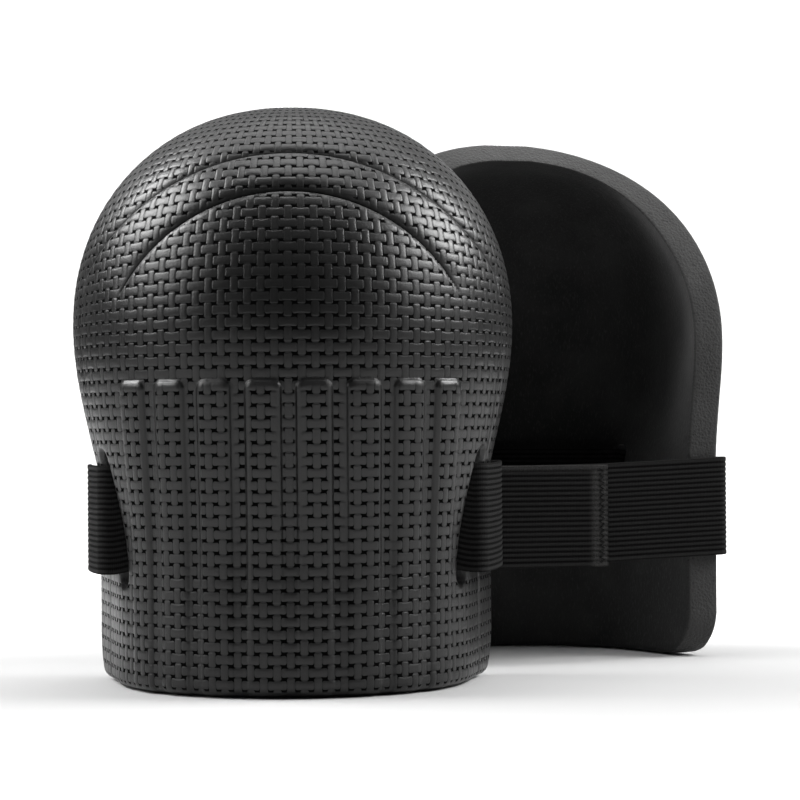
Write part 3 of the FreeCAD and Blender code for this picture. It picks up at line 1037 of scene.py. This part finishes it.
def tube(soup, path, r, sides=6):
    """Round thread along a list of points."""
    path = np.asarray(path, float)
    t = unit(np.gradient(path, axis=0))
    a = unit(np.cross(t, [0.3, 0.9, 0.31]))      # no thread runs near this direction
    b = np.cross(t, a)
    far = lengths(path)
    size = np.full(len(path), r)
    size[0] = size[-1] = r * TIP
    turn = np.arange(sides) / sides
    ang = 2 * math.pi * turn
    rings = []
    for i in range(len(path)):
        ring = path[i] + size[i] * (np.cos(ang)[:, None] * a[i] + np.sin(ang)[:, None] * b[i])
        rings.append(soup.add(ring, np.stack([np.full(sides, far[i]), turn], -1)))
    for p, q in zip(rings[:-1], rings[1:]):
        for j in range(sides):
            k = (j + 1) % sides
            soup.faces.append((p[j], p[k], q[k], q[j]))
    soup.faces += [rings[0][::-1], rings[-1]]
    soup.mark(0)


def seam_mesh():
    """Dense zigzag that ends the tab, sunk slightly into the band."""
    soup = Soup()
    rng = np.random.default_rng(5)
    x0, x1, z0, z1, pitch = -21.4, -19.2, BAND_Z + 0.6, BAND_Z + SLACK_W - 1.8, 1.1
    y = FLAP_Y + BAND_T / 2 + 0.06
    n = int((z1 - z0) / pitch)
    pts = []
    for i in range(n + 1):
        x = (x0 if i % 2 else x1) + rng.normal(0, 0.07)
        z = z0 + (z1 - z0) * i / n + rng.normal(0, 0.04)
        pts.append((x, y, z))
    fine = []
    for p, q in zip(pts[:-1], pts[1:]):
        for w in (0.0, 0.15, 0.5, 0.85):
            lift = 0.05 if w == 0.5 else (-NEEDLE_DOWN if w == 0.0 else 0.0)
            fine.append([p[0] + (q[0] - p[0]) * w, y + lift, p[2] + (q[2] - p[2]) * w])
    fine.append([pts[-1][0], y - NEEDLE_DOWN, pts[-1][2]])
    tube(soup, fine, 0.21)
    return soup.shaded("seam_stitching", 60)


def fray_mesh():
    """Loose yarn ends standing out of the tab's cut edge."""
    soup = Soup()
    rng = np.random.default_rng(8)
    for _ in range(46):
        z = BAND_Z + rng.uniform(0.0, SLACK_W - 1.4)
        y = FLAP_Y + rng.uniform(-0.55, 0.7)
        length = rng.uniform(0.5, 1.9)
        bend = rng.normal(0, 0.35, 2)
        w = np.linspace(0, 1, 5)
        path = np.stack([TAB_END + 0.5 - length * w, np.minimum(y + bend[0] * w * w, 31.9),
                         z + bend[1] * w * w * 2], -1)
        tube(soup, path, 0.05, 4)
    return soup.shaded("frayed_end", 60)


def dashes_mesh():
    """Running stitches that hold the loop tape."""
    soup = Soup()
    z0, z1, y = BAND_Z + 2.0, BAND_Z + PULLED_W - 0.8, MAIN_Y + BAND_T / 2 + 0.7 + 0.03
    pitch = (z1 - z0) / 9
    for x in (-19.3, 16.5):
        for i in range(9):
            a = z0 + (i + 0.2) * pitch
            z = a + 0.6 * pitch * np.linspace(0, 1, 7)
            arch = np.array([-0.22, -0.04, 0.02, 0.03, 0.02, -0.04, -0.22])
            tube(soup, np.stack([np.full(7, x), y + arch, z], -1), 0.19)
    return soup.shaded("loop_stitching", 60)


def tape(x0, x1, back_y, side, height, step, rough, seed):
    """Tape lying on a flat face at back_y, its working face towards side."""
    rng = np.random.default_rng(seed)
    z0, z1 = BAND_Z + 1.6, BAND_Z + PULLED_W - 0.4
    nx, nz = int((x1 - x0) / step), int((z1 - z0) / step)
    xs, zs = np.linspace(x0, x1, nx + 1), np.linspace(z0, z1, nz + 1)
    gx, gz = np.meshgrid(xs, zs, indexing="ij")
    rim = np.minimum(np.minimum(gx - x0, x1 - gx), np.minimum(gz - z0, z1 - gz))
    bumps = rng.uniform(-1.0, 0.0, gx.shape) * rough
    h = (height + bumps) * np.sqrt(np.clip(rim / 0.45, 0.0, 1.0)) * (rim > 0) + 0.02
    soup = Soup()
    coords = np.stack([gx, gz], -1).reshape(-1, 2)
    top, low = [soup.add(np.stack([gx, y, gz], -1).reshape(-1, 3), coords).reshape(gx.shape)
                for y in (back_y + side * h, np.full(gx.shape, back_y))]
    for i in range(nx):
        for j in range(nz):
            soup.faces.append((top[i, j], top[i + 1, j], top[i + 1, j + 1], top[i, j + 1]))
    ring = [(i, 0) for i in range(nx)] + [(nx, j) for j in range(nz)]
    ring += [(i, nz) for i in range(nx, 0, -1)] + [(0, j) for j in range(nz, 0, -1)]
    for p, q in zip(ring, ring[1:] + ring[:1]):
        soup.faces.append((top[p], low[p], low[q], top[q]))
    soup.faces.append([low[p] for p in ring])
    soup.mark(0)
    return soup


def loop_tape_mesh():
    soup = tape(-20.8, 18.0, MAIN_Y + BAND_T / 2, 1.0, height=0.68, step=0.55, rough=0.3, seed=3)
    return soup.shaded("loop_tape", 80, outwards=True)


def hook_tape_mesh():
    back = FLAP_Y - BAND_T / 2
    pitch = 1.68
    soup = tape(-21.3, 12.5, back, -1.0, height=0.22, step=0.9, rough=0.05, seed=4)
    for i in range(20):
        for j in range(21):
            x = -20.3 + i * pitch + (pitch / 4 if j % 2 else 0.0)
            z = BAND_Z + 3.2 + j * pitch
            lean = 0.32 if j % 2 else -0.32
            path = [(x, back - 0.15, z), (x, back - 0.42, z), (x + lean * 0.5, back - 0.6, z),
                    (x + lean, back - 0.56, z), (x + lean * 1.15, back - 0.42, z)]
            tube(soup, path, 0.085, 5)
    return soup.shaded("hook_tape", 70, outwards=True)


# ---- put the two pads together ----
foam = (skin_material(), cut_material(), lining_material())
elastic, raw_end = elastic_material(), raw_end_material()
band, thread = (elastic, raw_end), (thread_material(),)

PIECES = [  # name, mesh, materials, CAD node it stands for, finish
    ("cup", cup_mesh(*foam), foam, "foam_cup", "moulded_foam"),
    ("strap", fixed_run(), band, "elastic_band", "ribbed_elastic"),
    ("strap_lead", flap_lead(), band, "closing_band", "ribbed_elastic"),
    ("strap_end", flap_end(), band, "tab_band", "ribbed_elastic"),
    ("loop_tape_face", loop_tape_mesh(), (pile_material(),), "loop_tape", "loop_tape"),
    ("hook_tape_face", hook_tape_mesh(), (hook_material(),), "hook_tape", "hook_tape"),
    ("loop_stitches", dashes_mesh(), thread, "loop_stitching", "thread"),
    ("seam_zigzag", seam_mesh(), thread, "seam_stitching", "thread"),
    ("frayed_end", fray_mesh(), (elastic,), None, "ribbed_elastic"),
]
# where a blend starts and ends, across and back, at the band's middle height
BLEND_Z = 57.0
CLOSING_BLEND = ((75.0, 20.0), (72.4, 30.0))
TAB_BLEND = ((24.0, FLAP_Y), (15.0, FLAP_Y))

for pad in ("a", "b"):
    for kind, mesh, mats, node, finish in PIECES:
        name = pad + "_" + kind
        placed = in_place(mesh, pad, kind != "cup", name)
        piece = linked(name, placed, *(() if placed.materials else mats))
        if node:
            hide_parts(pad + "_" + node)
        if kind == "strap_lead":
            ends = [row_point(x, y, BLEND_Z, pad) for x, y in CLOSING_BLEND]
            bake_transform(piece)
        elif kind == "strap_end":
            ends = [row_point(x, y, BLEND_Z, pad) for x, y in TAB_BLEND]
            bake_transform(piece)
        elif kind in ("hook_tape_face", "seam_zigzag", "frayed_end"):
            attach(piece, "tab_" + pad)
        else:
            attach(piece, "pad_" + pad)
for _kind, mesh, *_rest in PIECES:
    bpy.data.meshes.remove(mesh)

# ---- studio, in metres ----
FLOOR_FRONT, FLOOR_BACK, SWEEP_R, WALL_TOP, HALF_ROOM = -1.6, 1.3, 0.5, 2.6, 2.6
FLOOR_DROP = 0.0004  # keeps the floor clear of the pads' lower edges


def sweep_backdrop():
    """Pale paper sweep: floor running up into a wall well behind the pads. It is darker close
    in, so that it throws less light on the pads' fronts, and grey far out and behind the
    camera, where it would show in the skin's gloss."""
    profile = [(FLOOR_FRONT, 0.0), (FLOOR_BACK, 0.0)]
    profile += [(FLOOR_BACK + SWEEP_R * math.sin(a), SWEEP_R - SWEEP_R * math.cos(a))
                for a in np.linspace(0.1, math.pi / 2, 12)]
    profile += [(FLOOR_BACK + SWEEP_R, WALL_TOP)]
    me = bpy.data.meshes.new("backdrop")
    verts = [(x, y, z) for y, z in profile for x in (-HALF_ROOM, HALF_ROOM)]
    faces = [(2 * i, 2 * i + 1, 2 * i + 3, 2 * i + 2) for i in range(len(profile) - 1)]
    me.from_pydata(verts, [], faces)
    m = Nodes("paper", 0.9, 0.1)
    x, y, z = m.split(m.place)
    soft = m.noise(9.0, 2.0)
    pale = m.mix(soft, grey(0.88), grey(0.92))
    pale = m.mix(m.ramp(y, 0.4, 0.03), pale, grey(0.5))
    edge = m.larger(m.ramp(y, -0.44, -0.72), m.ramp(m.math("ABSOLUTE", x), 0.46, 0.85))
    edge = m.larger(edge, m.ramp(z, 0.7, 1.1))
    m.finish(m.mix(edge, pale, grey(0.16)), m.bump(soft, 0.0002, 0.1))
    o = linked("backdrop", me, m.mat)
    shade(me, 60)
    o.location.z = -FLOOR_DROP
    return o


def softbox(name, at, aim, size, power):
    data = bpy.data.lights.new(name, "AREA")
    data.shape, data.size, data.size_y = "RECTANGLE", size[0], size[1]
    data.energy = power
    o = bpy.data.objects.new(name, data)
    bpy.context.collection.objects.link(o)
    o.location = at
    o.rotation_mode = "QUATERNION"
    o.rotation_quaternion = (Vector(aim) - Vector(at)).to_track_quat("-Z", "Y")
    return o


LIGHT_SIDE, LIGHT_LOW = (0.85, 0.5), (0.4, 0.3)  # sizes that two lights share
LIGHTS = [  # name, place, aim, size and power in watts
    ("softbox_left", (-1.0, 0.12, 0.94), (0, 0, 0.12), LIGHT_SIDE, 23.0),
    ("softbox_right", (1.04, 0.09, 0.84), (0, 0, 0.12), LIGHT_SIDE, 24.0),
    ("softbox_low_left", (-0.95, -0.3, 0.46), (0, 0, 0.13), LIGHT_LOW, 2.8),
    ("softbox_low_right", (0.95, -0.3, 0.46), (0, 0, 0.13), LIGHT_LOW, 1.5),
    ("softbox_top", (0.0, 0.75, 1.2), (0, 0, 0.1), (1.2, 0.5), 0.7),
    ("softbox_over", (0.0, -0.06, 1.3), (0, 0, 0.1), (0.9, 0.4), 8.0),
    ("softbox_front", (0.0, -1.5, 1.1), (0, 0, 0.1), (1.4, 0.6), 0.4),
    ("backdrop_light", (0.0, 0.9, 1.6), (0, 1.6, 0.35), (2.4, 0.6), 20.0),
]
sweep_backdrop()
[softbox(*light) for light in LIGHTS]
world = bpy.data.worlds.new("world")
world.use_nodes = True
sky = world.node_tree.nodes["Background"]
sky.inputs["Color"].default_value = (0.95, 0.97, 1.0, 1)
sky.inputs["Strength"].default_value = 0.06
bpy.context.scene.world = world
bpy.context.scene.view_settings.view_transform = "Standard"
